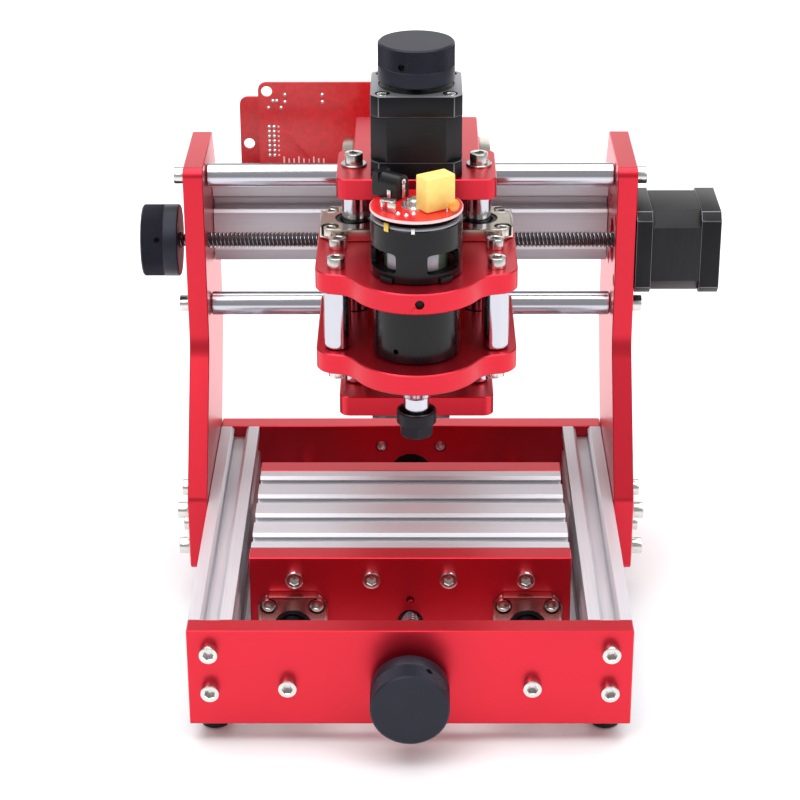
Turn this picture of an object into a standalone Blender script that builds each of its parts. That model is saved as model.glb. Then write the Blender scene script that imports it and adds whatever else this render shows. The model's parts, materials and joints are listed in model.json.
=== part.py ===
"""Desktop CNC router.

Two upright plates and two slotted rails make the base. A table runs front to back on two rods,
a gantry of two side plates carries a carriage left and right, and the carriage carries the
spindle up and down. Each axis has a motor with a lead screw and a hand knob.

Metres, +Z up, front towards -Y. Dimensions below are in millimetres, in the machine's own
frame: X from the middle of the base, Y from the front plate's outer face, Z from the floor.
"""

import math

import bmesh
import bpy
from mathutils import Matrix, Vector

MM = 0.001
GAP = 0.3            # between two pieces that touch
CREASE = math.radians(30)
SIDES, FINE_SIDES = 16, 32          # facets of round stock and of large round pieces

# ---- driving dimensions -------------------------------------------------------------------

# base
BASE_HALF = 100.0                    # half the width of the base plates
PLATE = 10.0                         # thickness of every red plate
PLATE_BOTTOM, PLATE_TOP = 10.0, 58.75
BACK_PLATE_Y = 212.0
RAIL_BOTTOM = 18.75
FOOT_R, FOOT_X = 6.85, 90.0
FOOT_YS = (18.0, 204.0)
BASE_Z = 31.2                        # height of the table's rods and screw

# round stock, bearings, motors
ROD_R = 6.0
SCREW_R = 4.0
SCREW_HOLE_R = SCREW_R + GAP
BEARING_BORE_R = ROD_R + 0.2
BEARING_R, BEARING_LENGTH = 10.5, 30.0
FLANGE, FLANGE_HALF, FLANGE_CUT = 5.7, 16.3, 5.2
MOTOR_HALF, PILOT_R, PILOT = 21.15, 11.0, 2.0
SEAT_R = PILOT_R + GAP               # hole that takes a motor's pilot
HOUSING_R = BEARING_R + GAP          # hole that takes a bearing's barrel
KNOB_R, KNOB_LENGTH = 17.85, 18.3
NUT_R, NUT_FLANGE_R, NUT_FLANGE = 5.7, 11.0, 4.0
NUT_HOLE_R = NUT_R + GAP

# gantry
SIDE_X = BASE_HALF + GAP             # inner face of the side plates
SIDE_PLATE = 9.8
GANTRY_Y = 187.0                     # the cross rods and the cross screw
X_ROD_ZS = (139.5, 207.5)
X_SCREW_Z = 173.5
CROSS_Y, CROSS_Z = 213.5, 152.5

# table
TABLE_HALF, TABLE_Y, TABLE_Z = 75.0, 66.4, 45.0
TABLE_DEPTH = 80.0
Y_ROD_X = 55.0
CARRIER_HALF, CARRIER_Z = 75.3, 14.5

# carriage
CAR_X = 3.0                          # where the carriage stands along the gantry
Z_ROD_X, Z_ROD_Y = 29.3, 140.3
TOP_PLATE_Z, BOTTOM_PLATE_Z = 219.0, 108.5
Z_MOTOR_Z, Z_MOTOR_LENGTH = 229.3, 39.3

# spindle
SPINDLE_Y = 89.5
UPPER_CLAMP_Z, LOWER_CLAMP_Z = 186.6, 147.0
CLAMP = 9.9
CAN_R, CAN_TOP_R = 20.0, 21.0
PILLAR_X = 36.7
PILLAR_YS = (92.5, 116.4)

# the middle of the whole machine, which stands at the origin
CENTRE_X, CENTRE_Y = 9.45, 119.95


# ---- materials ----------------------------------------------------------------------------

def linear(value):
    """One colour channel from 0-255 display value to linear light."""
    value /= 255
    return value / 12.92 if value <= 0.04045 else ((value + 0.055) / 1.055) ** 2.4


def material(name, colour, roughness, metallic):
    made = bpy.data.materials.new(name)
    made.use_nodes = True
    shader = made.node_tree.nodes["Principled BSDF"]
    shader.inputs["Base Color"].default_value = (*(linear(channel) for channel in colour), 1)
    shader.inputs["Roughness"].default_value = roughness
    shader.inputs["Metallic"].default_value = metallic
    return made


def make_materials():
    return {
        "anodised_red": material("anodised_red", (206, 34, 52), 0.35, 0.6),
        "bare_aluminium": material("bare_aluminium", (206, 207, 210), 0.4, 1.0),
        "polished_rod": material("polished_rod", (215, 216, 220), 0.12, 1.0),
        "lead_screw": material("lead_screw", (170, 171, 175), 0.3, 1.0),
        "bearing_nickel": material("bearing_nickel", (205, 200, 188), 0.35, 0.9),
        "motor_black": material("motor_black", (34, 34, 37), 0.5, 0.2),
        "knob_grey": material("knob_grey", (58, 58, 64), 0.4, 0.7),
        "rubber": material("rubber", (24, 24, 25), 0.85, 0.0),
        "nut_plastic": material("nut_plastic", (28, 28, 30), 0.5, 0.0),
        "spindle_black": material("spindle_black", (22, 22, 24), 0.4, 0.3),
        "board_red": material("board_red", (176, 28, 40), 0.4, 0.0),
        "jack_plastic": material("jack_plastic", (20, 20, 21), 0.45, 0.0),
        "collet_steel": material("collet_steel", (150, 150, 152), 0.3, 1.0),
    }


# ---- shapes -------------------------------------------------------------------------------

def along(axis, u, v, w):
    """A point whose section lies at (u, v) and which is w along the axis, in metres."""
    places = {"X": (w, u, v), "Y": (u, w, v), "Z": (u, v, w)}
    return Vector(places[axis]) * MM


def empty(name, parent=None, at=(0, 0, 0)):
    made = bpy.data.objects.new(name, None)
    made.location = Vector(at) * MM
    made.parent = parent
    bpy.context.scene.collection.objects.link(made)
    return made


def piece(name, bm, look, parent, at):
    """An object from a bmesh, with its faces turned out."""
    bmesh.ops.recalc_face_normals(bm, faces=bm.faces)
    mesh = bpy.data.meshes.new(name)
    bm.to_mesh(mesh)
    bm.free()
    made = bpy.data.objects.new(name, mesh)
    if look:
        mesh.materials.append(look)
    made.parent = parent
    made.location = Vector(at) * MM
    bpy.context.scene.collection.objects.link(made)
    return made


def apply_modifiers(made):
    graph = bpy.context.evaluated_depsgraph_get()
    mesh = bpy.data.meshes.new_from_object(made.evaluated_get(graph))
    made.modifiers.clear()
    made.data = mesh
    return made


def smooth(made):
    made.data.shade_smooth()
    made.data.set_sharp_from_angle(angle=CREASE)
    return made


def bevelled(made, width=0.4, segments=1):
    edge = made.modifiers.new("edge", "BEVEL")
    edge.width = width * MM
    edge.segments = segments
    edge.limit_method = "ANGLE"
    edge.angle_limit = CREASE
    return apply_modifiers(made)


def joined(made, tools, operation):
    """Cuts the tools from a piece, or unites them with it, and removes the tools."""
    for tool in tools:
        boolean = made.modifiers.new(tool.name, "BOOLEAN")
        boolean.operation = operation
        boolean.object = tool
    apply_modifiers(made)
    for tool in tools:
        bpy.data.objects.remove(tool)
    return made


def fitted(tool, made):
    """Places a tool in the same local frame as the piece that it works on."""
    tool.parent = made.parent
    tool.location = made.location
    tool.rotation_euler = made.rotation_euler
    return tool


def cut(made, tools):
    return joined(made, [fitted(tool, made) for tool in tools], "DIFFERENCE")


def prism(name, outline, axis, low, high, look=None, parent=None, at=(0, 0, 0)):
    """A flat outline swept along an axis."""
    bm = bmesh.new()
    face = bm.faces.new([bm.verts.new(along(axis, u, v, low)) for u, v in outline])
    swept = bmesh.ops.extrude_face_region(bm, geom=[face])["geom"]
    moved = [item for item in swept if isinstance(item, bmesh.types.BMVert)]
    bmesh.ops.translate(bm, verts=moved, vec=along(axis, 0, 0, high - low))
    return piece(name, bm, look, parent, at)


def circle(radius, sides, centre=(0, 0)):
    turns = [math.tau * (step + 0.5) / sides for step in range(sides)]
    return [(centre[0] + radius * math.cos(t), centre[1] + radius * math.sin(t)) for t in turns]


def rectangle(half_u, half_v, centre=(0, 0)):
    signs = ((-1, -1), (1, -1), (1, 1), (-1, 1))
    return [(centre[0] + s * half_u, centre[1] + t * half_v) for s, t in signs]


def chamfered_square(half, cut):
    """A square with its four corners cut off at 45 degrees."""
    near = half - cut
    return [(near, -half), (half, -near), (half, near), (near, half),
            (-near, half), (-half, near), (-half, -near), (-near, -half)]


def drill(radius, axis, low, high, centre, sides=SIDES):
    """A round cutting tool; centre is its place in the section."""
    return prism("drill", circle(radius, sides, centre), axis, low, high)


def rod(name, radius, axis, low, high, look, parent, at, sides=SIDES):
    return smooth(prism(name, circle(radius, sides), axis, low, high, look, parent, at))


def turned(name, profile, axis, look, parent, at, sides=SIDES):
    """A profile of (radius, place along the axis) points spun round the axis."""
    bm = bmesh.new()
    points = [bm.verts.new(along(axis, radius, 0, place)) for radius, place in profile]
    edges = [bm.edges.new(pair) for pair in zip(points, points[1:])]
    if profile[0][0] > 0:
        edges.append(bm.edges.new((points[-1], points[0])))
    bmesh.ops.spin(bm, geom=points + edges, cent=(0, 0, 0), axis=along(axis, 0, 0, 1),
                   angle=math.tau, steps=sides, use_merge=True)
    bmesh.ops.remove_doubles(bm, verts=bm.verts, dist=0.001 * MM)
    return smooth(piece(name, bm, look, parent, at))


def rounded(corners, steps=6):
    """An outline whose (u, v, radius) corners are rounded by arcs."""
    outline = []
    for index, (u, v, radius) in enumerate(corners):
        here = Vector((u, v))
        back = (Vector(corners[index - 1][:2]) - here).normalized()
        ahead = (Vector(corners[(index + 1) % len(corners)][:2]) - here).normalized()
        if not radius:
            outline.append((u, v))
            continue
        half = back.angle(ahead) / 2
        middle = here + (back + ahead).normalized() * radius / math.sin(half)
        start = here + back * radius / math.tan(half) - middle
        end = here + ahead * radius / math.tan(half) - middle
        turn = start.angle_signed(end)
        for step in range(steps + 1):
            spoke = start.copy()
            spoke.rotate(Matrix.Rotation(-turn * step / steps, 2))
            outline.append(tuple(middle + spoke))
    return outline


def arc(centre, radius, start, end, steps):
    """Points of an arc, angles in radians."""
    turns = [start + (end - start) * step / steps for step in range(steps + 1)]
    return [(centre[0] + radius * math.cos(t), centre[1] + radius * math.sin(t)) for t in turns]


def slotted_profile(columns, rows):
    """Outline of an extrusion of 20 mm modules with a V-slot in each module's outer faces."""
    module = 20.0
    slot = [(-4.58, 0), (-3.1, 1.48), (-3.1, 1.8), (-5.5, 1.8), (-5.5, 3.4), (-2.8, 6.1)]
    slot += [(-u, depth) for u, depth in reversed(slot)]
    wide, tall = columns * module, rows * module
    sides = (((0, 0), (1, 0), columns), ((wide, 0), (0, 1), rows),
             ((wide, tall), (-1, 0), columns), ((0, tall), (0, -1), rows))
    outline = []
    for (u, v), (du, dv), count in sides:
        outline.append((u, v))
        for index in range(count):
            middle = module * (index + 0.5)
            for offset, depth in slot:
                run = middle + offset
                outline.append((u + du * run - dv * depth, v + dv * run + du * depth))
    return outline


# ---- pieces used more than once -------------------------------------------------------------

def bearing(name, axis, flange_at, barrel_towards, place, parent, look):
    """A flanged linear bearing: square flange with cut corners, round barrel, through bore.

    flange_at is the flange's outer face along the axis; barrel_towards is +1 or -1.
    """
    end = flange_at + barrel_towards * BEARING_LENGTH
    back = flange_at + barrel_towards * FLANGE
    inside = back - barrel_towards
    made = prism(name, chamfered_square(FLANGE_HALF, FLANGE_CUT), axis, flange_at, back,
                 look, parent, place)
    bore = sorted((flange_at - barrel_towards, end + barrel_towards))
    barrel = drill(BEARING_R, axis, inside, end, (0, 0))
    hole = drill(BEARING_BORE_R, axis, *bore, (0, 0))
    joined(made, [fitted(barrel, made)], "UNION")
    return smooth(cut(made, [hole]))


def motor(name, axis, front, length, place, parent, look, screw_hole):
    """A square stepping motor with its pilot towards the front and chamfered corners.

    length is signed along the axis; screw_hole is how deep the hollow shaft's hole runs.
    """
    way = math.copysign(1, length)
    made = prism(name, chamfered_square(MOTOR_HALF, 3.8), axis, front, front + length,
                 look, parent, place)
    pilot = fitted(drill(PILOT_R, axis, front - way * PILOT, front + way, (0, 0)), made)
    joined(made, [pilot], "UNION")
    stack = sorted((front + length * 0.2, front + length * 0.75))
    corners = []
    for u in (-1, 1):
        for v in (-1, 1):
            far, tip = MOTOR_HALF + 1, MOTOR_HALF - 8.4
            outline = [(u * far, v * tip), (u * far, v * far), (u * tip, v * far)]
            corners.append(prism("corner", outline, axis, *stack))
    hole = drill(SCREW_HOLE_R, axis, front - way * (PILOT + 1), front + way * screw_hole, (0, 0))
    return smooth(cut(made, corners + [hole]))


def knob(name, axis, face, length, place, parent, look, hole_r):
    """A round hand knob with chamfered edges and a blind hole in its back.

    face is the outer end along the axis; length is signed from the face to the back.
    """
    way = math.copysign(1, length)
    back = face + length
    floor = face + way * 3.3
    edge = 0.7
    profile = [(0, face), (KNOB_R - edge, face), (KNOB_R, face + way * edge),
               (KNOB_R, back - way * edge), (KNOB_R - edge, back),
               (hole_r, back), (hole_r, floor), (0, floor)]
    return turned(name, profile, axis, look, parent, place, sides=FINE_SIDES)


def nut(name, axis, flange_at, barrel, place, parent, look):
    """A flanged screw nut; barrel is its signed length beyond the flange."""
    way = math.copysign(1, barrel)
    back = flange_at + way * NUT_FLANGE
    profile = [(NUT_FLANGE_R, flange_at), (NUT_FLANGE_R, back), (NUT_R, back),
               (NUT_R, back + barrel), (SCREW_HOLE_R, back + barrel), (SCREW_HOLE_R, flange_at)]
    return turned(name, profile, axis, look, parent, place)


# ---- base -----------------------------------------------------------------------------------

def make_base(looks, machine):
    red = looks["anodised_red"]
    middle = (PLATE_TOP + PLATE_BOTTOM) / 2
    plate = rectangle(BASE_HALF, (PLATE_TOP - PLATE_BOTTOM) / 2, (0, middle))
    for name, low, hole_r in (("front_plate", 0, SCREW_HOLE_R), ("back_plate", BACK_PLATE_Y, SEAT_R)):
        made = bevelled(prism(name, plate, "Y", low, low + PLATE, red, machine))
        cut(made, [drill(hole_r, "Y", low - 1, low + PLATE + 1, (0, BASE_Z))])
    inner, outer = PLATE + GAP, BACK_PLATE_Y - GAP
    rail = slotted_profile(1, 2)
    for name, left in (("left_rail", -BASE_HALF), ("right_rail", BASE_HALF - 20)):
        prism(name, rail, "Y", inner, outer, looks["bare_aluminium"], machine,
              (left, 0, RAIL_BOTTOM))
    for x, side in ((-FOOT_X, "left"), (FOOT_X, "right")):
        for y, end in zip(FOOT_YS, ("front", "back")):
            top = RAIL_BOTTOM - GAP
            profile = [(0, 0), (FOOT_R - 1, 0), (FOOT_R, 1), (FOOT_R, top - 1),
                       (FOOT_R - 1, top), (0, top)]
            turned(f"foot_{end}_{side}", profile, "Z", looks["rubber"], machine, (x, y, 0))
    for name, x in (("y_rod_left", -Y_ROD_X), ("y_rod_right", Y_ROD_X)):
        rod(name, ROD_R, "Y", inner, outer, looks["polished_rod"], machine, (x, 0, BASE_Z))
    motor("y_motor", "Y", BACK_PLATE_Y + PLATE + GAP, 40.0, (0, 0, BASE_Z), machine,
          looks["motor_black"], 12.0)


# ---- gantry ---------------------------------------------------------------------------------

def side_plate_outline():
    """Seen from the side, as (y, z) with corner radii: a foot, a waist and an upright."""
    return rounded([(123.7, 21, 4), (222, 21, 1), (222, 59, 0), (250, 106, 3), (250, 180, 3),
                    (227, 217, 3), (166.8, 217, 4.5), (166.8, 125, 22), (123.7, 60, 6)])


def make_gantry(looks, machine):
    red = looks["anodised_red"]
    outline = side_plate_outline()
    for name, low, screw_r in (("left_side_plate", -SIDE_X - SIDE_PLATE, SCREW_HOLE_R),
                               ("right_side_plate", SIDE_X, SEAT_R)):
        made = bevelled(prism(name, outline, "X", low, low + SIDE_PLATE, red, machine))
        span = (low - 1, low + SIDE_PLATE + 1)
        holes = [drill(screw_r, "X", *span, (GANTRY_Y, X_SCREW_Z))]
        if screw_r == SEAT_R:
            holes += [drill(1.7, "X", *span, (GANTRY_Y + u, X_SCREW_Z + v), 12)
                      for u, v in rectangle(15.5, 15.5)]
        cut(made, holes)
    prism("cross_profile", slotted_profile(1, 2), "X", -BASE_HALF, BASE_HALF,
          looks["bare_aluminium"], machine, (0, CROSS_Y, CROSS_Z))
    for name, z in zip(("x_rod_lower", "x_rod_upper"), X_ROD_ZS):
        rod(name, ROD_R, "X", -BASE_HALF, BASE_HALF, looks["polished_rod"], machine,
            (0, GANTRY_Y, z))
    motor("x_motor", "X", SIDE_X + SIDE_PLATE + GAP, 41.2, (0, GANTRY_Y, X_SCREW_Z), machine,
          looks["motor_black"], 12.0)


def make_boards(looks, machine):
    """Two circuit boards that stand one behind the other at the back of the gantry."""
    front = [(-77.5, 178, 3), (22, 178, 3), (22, 238.4, 3), (-77.5, 238.4, 4)]
    rear = [(-87.5, 168, 3), (12, 168, 3), (12, 228.8, 3), (-87.5, 228.8, 4)]
    for name, corners, y, hole in (("controller_board", front, 240, (-73.1, 233.6)),
                                   ("driver_board", rear, 246.5, (-83.1, 203.8))):
        made = prism(name, rounded(corners, 4), "Y", y, y + 1.6, looks["board_red"], machine)
        cut(made, [drill(2.8, "Y", y - 1, y + 3, hole, 16)])


# ---- table ----------------------------------------------------------------------------------

def make_table(looks, table):
    red = looks["anodised_red"]
    top = prism("table", slotted_profile(4, 1), "X", -TABLE_HALF, TABLE_HALF,
                looks["bare_aluminium"], table, (0, TABLE_Y, TABLE_Z))
    cut(top, [drill(2.1, "X", -TABLE_HALF - 1, TABLE_HALF + 1, (20 * index + 10, 10), 12)
              for index in range(4)])
    height = TABLE_Z + 20 - CARRIER_Z
    outline = rectangle(CARRIER_HALF, height / 2, (0, CARRIER_Z + height / 2))
    back_y = TABLE_Y + TABLE_DEPTH + GAP
    front_y = TABLE_Y - GAP - PLATE
    for name, low, hole_r in (("front_carrier", front_y, NUT_HOLE_R),
                              ("rear_carrier", back_y, SCREW_HOLE_R)):
        made = bevelled(prism(name, outline, "Y", low, low + PLATE, red, table))
        span = (low - 1, low + PLATE + 1)
        holes = [drill(HOUSING_R, "Y", *span, (x, BASE_Z)) for x in (-Y_ROD_X, Y_ROD_X)]
        cut(made, holes + [drill(hole_r, "Y", *span, (0, BASE_Z))])
    faces = (("front", front_y - GAP - FLANGE, 1), ("rear", back_y + PLATE + GAP + FLANGE, -1))
    for end, face, way in faces:
        for side, x in (("left", -Y_ROD_X), ("right", Y_ROD_X)):
            bearing(f"y_bearing_{end}_{side}", "Y", face, way, (x, 0, BASE_Z), table,
                    looks["bearing_nickel"])
    nut("y_nut", "Y", front_y + PLATE + GAP + NUT_FLANGE, -9.0, (0, 0, BASE_Z), table,
        looks["nut_plastic"])


# ---- carriage -------------------------------------------------------------------------------

def carriage_outline():
    """A wide front under the motor and a narrower back over the cheeks, as (x, y)."""
    half = [(37.2, 119, 5), (37.2, 161.4, 4), (30.1, 161.4, 0), (30.1, 212.7, 1)]
    mirrored = [(-x, y, radius) for x, y, radius in reversed(half)]
    return rounded(half + mirrored)


def make_carriage(looks, carriage):
    red = looks["anodised_red"]
    outline = carriage_outline()
    for name, low, hole_r in (("z_top_plate", TOP_PLATE_Z, SEAT_R),
                              ("z_bottom_plate", BOTTOM_PLATE_Z, SCREW_HOLE_R)):
        made = bevelled(prism(name, outline, "Z", low, low + PLATE, red, carriage))
        cut(made, [drill(hole_r, "Z", low - 1, low + PLATE + 1, (0, Z_ROD_Y))])
    bottom = BOTTOM_PLATE_Z + PLATE + GAP
    top = TOP_PLATE_Z - GAP
    cheek = rectangle(23.5, (top - bottom) / 2, (189, (top + bottom) / 2))
    for side, sign in (("left", -1), ("right", 1)):
        inner, outer = sorted((sign * 20, sign * 30))
        made = prism(f"{side}_cheek", cheek, "X", inner, outer, red, carriage)
        holes = [(HOUSING_R, z) for z in X_ROD_ZS]
        holes.append((NUT_HOLE_R, X_SCREW_Z))
        cut(made, [drill(r, "X", inner - 1, outer + 1, (GANTRY_Y, z)) for r, z in holes])
        face = sign * (30 + GAP + FLANGE)
        for level, z in zip(("lower", "upper"), X_ROD_ZS):
            bearing(f"x_bearing_{level}_{side}", "X", face, -sign, (0, GANTRY_Y, z), carriage,
                    looks["bearing_nickel"])
        rod(f"z_rod_{side}", ROD_R, "Z", bottom, top, looks["polished_rod"], carriage,
            (sign * Z_ROD_X, Z_ROD_Y, 0))
    nut("x_nut", "X", -(30 + GAP + NUT_FLANGE), 14.0, (0, GANTRY_Y, X_SCREW_Z), carriage,
        looks["nut_plastic"])
    motor("z_motor", "Z", Z_MOTOR_Z, Z_MOTOR_LENGTH, (0, Z_ROD_Y, 0), carriage,
          looks["motor_black"], Z_MOTOR_LENGTH + 1)


# ---- spindle slide --------------------------------------------------------------------------

def touching_centre(first, first_r, second, second_r, radius):
    """Centre of the circle that touches two others from outside, on the left of first to second."""
    run = second - first
    near, far = first_r + radius, second_r + radius
    reach = (run.length_squared + near ** 2 - far ** 2) / (2 * run.length)
    across = math.sqrt(near ** 2 - reach ** 2)
    ahead = run.normalized()
    return first + ahead * reach + Vector((-ahead.y, ahead.x)) * across


def clamp_outline():
    """The clamp plates as (x, y): straight back, an ear on each side, round nose at the front."""
    nose, nose_r = Vector((0, SPINDLE_Y)), 31.1
    ear, ear_r = Vector((36.4, 92.5)), 10.0
    waist_r = 12.0
    waist = touching_centre(ear, ear_r, nose, nose_r, waist_r)
    to_nose = (nose - waist).to_2d()
    to_ear = (ear - waist).to_2d()
    nose_angle = math.atan2(-to_nose.y, -to_nose.x)
    ear_angle = math.atan2(-to_ear.y, -to_ear.x)
    right = arc(nose, nose_r, -math.pi / 2, nose_angle, 8)
    right += arc(waist, waist_r, nose_angle + math.pi, ear_angle + math.pi, 4)[1:]
    right += arc(ear, ear_r, ear_angle, 0, 5)[1:]
    right += rounded([(46.4, 156.6, 3), (0, 156.6, 0), (46.4, 100, 0)], 3)[:4]
    return right + [(-x, y) for x, y in reversed(right[1:])]


def make_spindle_slide(looks, slide):
    red = looks["anodised_red"]
    outline = clamp_outline()
    upper = [(CAN_R + GAP, 0, SPINDLE_Y), (NUT_HOLE_R, 0, Z_ROD_Y),
             (HOUSING_R, -Z_ROD_X, Z_ROD_Y), (HOUSING_R, Z_ROD_X, Z_ROD_Y)]
    lower = [(7.6, 0, SPINDLE_Y), (SCREW_R + 1, 0, Z_ROD_Y),
             (ROD_R + 1, -Z_ROD_X, Z_ROD_Y), (ROD_R + 1, Z_ROD_X, Z_ROD_Y)]
    for name, low, holes in (("upper_clamp_plate", UPPER_CLAMP_Z, upper),
                             ("lower_clamp_plate", LOWER_CLAMP_Z, lower)):
        made = bevelled(prism(name, outline, "Z", low, low + CLAMP, red, slide), 0.5)
        cut(made, [drill(r, "Z", low - 1, low + CLAMP + 1, (x, y), FINE_SIDES if r > HOUSING_R else SIDES)
                   for r, x, y in holes])
        if low == UPPER_CLAMP_Z:
            cut(made, [drill(2.2, "Y", 50, 66, (1.4, low + CLAMP / 2), 16)])
    floor = LOWER_CLAMP_Z + CLAMP + GAP
    for row, y in zip(("front", "rear"), PILLAR_YS):
        for side, sign in (("left", -1), ("right", 1)):
            rod(f"pillar_{row}_{side}", ROD_R, "Z", floor, UPPER_CLAMP_Z - GAP,
                looks["polished_rod"], slide, (sign * PILLAR_X, y, 0))
    face = UPPER_CLAMP_Z + CLAMP + GAP + FLANGE
    for side, sign in (("left", -1), ("right", 1)):
        bearing(f"z_bearing_{side}", "Z", face, -1, (sign * Z_ROD_X, Z_ROD_Y, 0), slide,
                looks["bearing_nickel"])
    nut("z_nut", "Z", face - FLANGE + NUT_FLANGE, -12.0, (0, Z_ROD_Y, 0), slide,
        looks["nut_plastic"])
    make_spindle_motor(looks, slide, floor)


def make_spindle_motor(looks, slide, floor):
    """The can, the round board on its top and the power socket."""
    axis = (0, SPINDLE_Y, 0)
    step, top = 198.0, 222.4
    board_z = 225.9
    profile = [(0, floor + 22), (7.4, floor + 22), (7.4, floor), (CAN_R, floor), (CAN_R, step),
               (CAN_TOP_R, step + 1), (CAN_TOP_R, top - 1), (CAN_TOP_R - 1, top), (5, top),
               (5, board_z + 5), (0, board_z + 5)]
    can = turned("spindle_can", profile, "Z", looks["spindle_black"], slide, axis, sides=FINE_SIDES)
    window = rectangle(9, 7, (0, 208))
    cut(can, [prism("window", window, "Y", low, low + 4) for low in (-22, 18)])
    smooth(can)
    ring = [(5.3, board_z), (21.1, board_z), (21.1, board_z + 1.6), (5.3, board_z + 1.6)]
    turned("spindle_board", ring, "Z", looks["board_red"], slide, axis, sides=FINE_SIDES)
    make_power_jack(looks, slide, board_z + 1.6 + GAP)


def make_power_jack(looks, slide, low):
    """A round-topped socket with a square mouth; its pin stands in the middle of the hole."""
    half, height, length = 4.5, 11.0, 14.0
    middle = height - half
    arch = [(half, 0)] + arc((0, middle), half, 0, math.pi, 8) + [(-half, 0)]
    jack = prism("power_jack", arch, "X", 0, length, looks["jack_plastic"], slide,
                 (-6.2, SPINDLE_Y + 8.3, low))
    jack.rotation_euler.z = math.radians(143.5)
    mouth = prism("mouth", rectangle(half, height / 2, (0, height / 2)), "X", length - 3.4, length)
    joined(jack, [fitted(mouth, jack)], "UNION")
    ring = [(1.05, 5), (3.2, 5), (3.2, length + 1), (1.05, length + 1)]
    hole = turned("hole", ring, "X", None, None, (0, 0, 0))
    hole.data.transform(Matrix.Translation((0, 0, middle * MM)))
    smooth(cut(jack, [hole]))


# ---- turning pieces -------------------------------------------------------------------------

def make_screws(looks, machine, carriage):
    """A lead screw on each axis with its hand knob; each turns as one."""
    steel, grey = looks["lead_screw"], looks["knob_grey"]
    base_axis, cross_axis, lift_axis = (0, 0, BASE_Z), (0, GANTRY_Y, X_SCREW_Z), (0, Z_ROD_Y, 0)
    rod("y_lead_screw", SCREW_R, "Y", -18.8, 232, steel, machine, base_axis)
    knob("y_knob", "Y", -22.4, KNOB_LENGTH, base_axis, machine, grey, SCREW_HOLE_R)
    rod("x_lead_screw", SCREW_R, "X", -129.1, 121, steel, machine, cross_axis)
    knob("x_knob", "X", -132.7, KNOB_LENGTH, cross_axis, machine, grey, SCREW_HOLE_R)
    neck = 262.0
    profile = [(0, 110), (SCREW_R, 110), (SCREW_R, neck), (2.5, neck), (2.5, 285.4), (0, 285.4)]
    turned("z_lead_screw", profile, "Z", steel, carriage, lift_axis)
    knob("z_knob", "Z", 289.0, -KNOB_LENGTH, lift_axis, carriage, grey, 2.8)


def make_spindle(looks, slide):
    """The shaft with its collet and collet nut."""
    axis = (0, SPINDLE_Y, 0)
    black, steel = looks["spindle_black"], looks["collet_steel"]
    shaft = [(3.5, 118.4), (6, 118.4), (6, 132), (7, 133), (7, 175), (0, 175), (0, 131),
             (3.5, 131)]
    turned("spindle_shaft", shaft + [shaft[0]], "Z", looks["polished_rod"], slide, axis)
    nut_low, nut_top, hex_top, across_flats = 113.5, 126.3, 119.8, 14.6
    hexagon = circle(across_flats / math.sqrt(3), 6)
    made = prism("collet_nut", circle(9.4, FINE_SIDES), "Z", nut_low, nut_top, black, slide, axis)
    flats = prism("flats", circle(14, SIDES), "Z", nut_low - 1, hex_top)
    keep = prism("keep", hexagon, "Z", nut_low - 2, hex_top + 1)
    joined(flats, [keep], "DIFFERENCE")
    cut(made, [flats, drill(4.5, "Z", nut_low - 1, 118, (0, 0)),
               drill(6.3, "Z", 117.6, nut_top + 1, (0, 0))])
    collet = [(1.6, 113.3), (4.2, 113.3), (4.2, 117.8), (3.2, 118.6), (3.2, 129), (1.6, 129)]
    turned("collet", collet, "Z", steel, slide, axis)


def main():
    for old in list(bpy.data.objects):
        bpy.data.objects.remove(old)
    looks = make_materials()
    machine = empty("machine", at=(-CENTRE_X, -CENTRE_Y, 0))
    table = empty("table_slide", machine)
    carriage = empty("carriage_slide", machine, (CAR_X, 0, 0))
    slide = empty("spindle_slide", carriage)
    make_base(looks, machine)
    make_gantry(looks, machine)
    make_boards(looks, machine)
    make_table(looks, table)
    make_carriage(looks, carriage)
    make_spindle_slide(looks, slide)
    make_screws(looks, machine, carriage)
    make_spindle(looks, slide)


main()
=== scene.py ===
"""The looks of the desktop CNC router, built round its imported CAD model.

Lengths below are in millimetres in the machine's own frame, as in the CAD: X from the middle of
the base, Y from the front plate's outer face, Z from the floor. spot() turns them into metres.
"""

import json
import math
import random

import bmesh
import bpy
from mathutils import Matrix, Vector


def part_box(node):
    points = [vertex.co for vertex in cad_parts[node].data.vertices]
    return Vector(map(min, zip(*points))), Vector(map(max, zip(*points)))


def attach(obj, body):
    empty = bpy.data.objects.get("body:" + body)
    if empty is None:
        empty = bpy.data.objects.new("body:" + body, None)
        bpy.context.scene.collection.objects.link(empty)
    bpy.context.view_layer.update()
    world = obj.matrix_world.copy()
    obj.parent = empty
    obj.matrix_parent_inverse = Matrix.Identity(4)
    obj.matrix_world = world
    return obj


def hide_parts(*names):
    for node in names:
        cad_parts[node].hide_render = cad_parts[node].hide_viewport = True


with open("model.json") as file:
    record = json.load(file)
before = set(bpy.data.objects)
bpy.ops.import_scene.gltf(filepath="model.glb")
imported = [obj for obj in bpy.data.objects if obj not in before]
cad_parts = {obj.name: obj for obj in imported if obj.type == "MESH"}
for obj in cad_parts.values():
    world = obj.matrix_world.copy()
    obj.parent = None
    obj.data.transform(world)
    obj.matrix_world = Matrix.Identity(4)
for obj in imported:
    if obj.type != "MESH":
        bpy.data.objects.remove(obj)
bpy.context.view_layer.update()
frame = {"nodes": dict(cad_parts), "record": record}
nodes = frame["nodes"]

MM = 0.001
CREASE = math.radians(28)
FINE = 64                            # facets round a large turned piece

BODY_OF = {node: body for body, members in frame["record"]["behaviour"]["bodies"].items()
           for node in members}
SLOT_OF = {part["node"]: part["material_slot"] for part in frame["record"]["subparts"]}


def centre(node):
    low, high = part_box(node)
    return (low + high) / 2


BASE = Vector((centre("front_plate").x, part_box("front_plate")[0].y, 0))


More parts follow.
